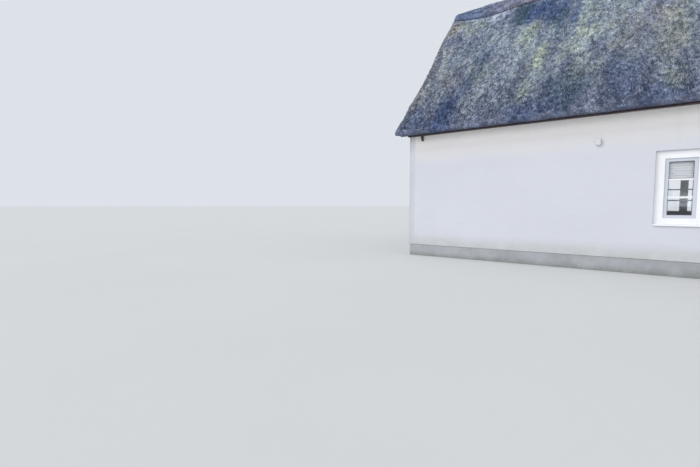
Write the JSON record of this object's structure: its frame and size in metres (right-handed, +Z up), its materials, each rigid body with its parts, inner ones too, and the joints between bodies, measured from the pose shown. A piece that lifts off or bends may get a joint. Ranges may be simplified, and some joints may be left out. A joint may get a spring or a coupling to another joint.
{
  "type": "thatched cottage",
  "caption": "Low white plastered cottage with a steep thatched gable roof, a heather ridge, a front door and small two-sash windows.",
  "frame": {"origin": "on the ground, at the centre of the plan", "axes": "+X along the ridge, to the right of somebody who faces the front; -Y towards the front, where the door is; +Z up"},
  "size_m": [14.07, 6.478, 6.4754],
  "materials": {
    "white_plaster": "matt, slightly uneven painted plaster",
    "plinth": "matt grey cement render",
    "screed": "matt floor screed",
    "floorboards": "plain sawn boards",
    "roof_timber": "rough sawn softwood",
    "dark_timber": "dark brown stained timber",
    "reed_thatch": "weathered blue-grey reed with moss and lichen",
    "heather": "weathered grey heather with a little of its old flower",
    "white_paint": "satin white paint",
    "window_glass": "clear double glazing",
    "blind_slats": "pale matt slats",
    "handle_steel": "brushed steel",
    "step_stone": "worn grey stone",
    "white_plastic": "matt white plastic"
  },
  "bodies": {
    "root": {"door_frame": "white_paint", "door_glass": "window_glass", "door_handle": "handle_steel", "door_leaf": "white_paint", "doorstep": "step_stone", "front_eave_board": "dark_timber", "front_left_eave_bracket": "dark_timber", "front_left_window_blind": "blind_slats", "front_left_window_frame": "white_paint", "front_left_window_glass": "window_glass", "front_left_window_sill": "white_paint", "front_right_eave_bracket": "dark_timber", "front_right_window_blind": "blind_slats", "front_right_window_frame": "white_paint", "front_right_window_glass": "window_glass", "front_right_window_sill": "white_paint", "front_thatch": "reed_thatch", "front_wall": "white_plaster", "front_wall_plate": "roof_timber", "ground_floor": "screed", "left_gable_wall": "white_plaster", "left_gable_window_frame": "white_paint", "left_gable_window_glass": "window_glass", "left_gable_window_sill": "white_paint", "left_verge_board": "dark_timber", "loft_floor": "floorboards", "plinth": "plinth", "rafters": "roof_timber", "rear_eave_board": "dark_timber", "rear_left_window_frame": "white_paint", "rear_left_window_glass": "window_glass", "rear_left_window_sill": "white_paint", "rear_right_window_frame": "white_paint", "rear_right_window_glass": "window_glass", "rear_right_window_sill": "white_paint", "rear_thatch": "reed_thatch", "rear_wall": "white_plaster", "rear_wall_plate": "roof_timber", "ridge_cap": "heather", "right_gable_wall": "white_plaster", "right_gable_window_frame": "white_paint", "right_gable_window_glass": "window_glass", "right_gable_window_sill": "white_paint", "right_verge_board": "dark_timber", "wall_sensor": "white_plastic"}
  },
  "joints": []
}
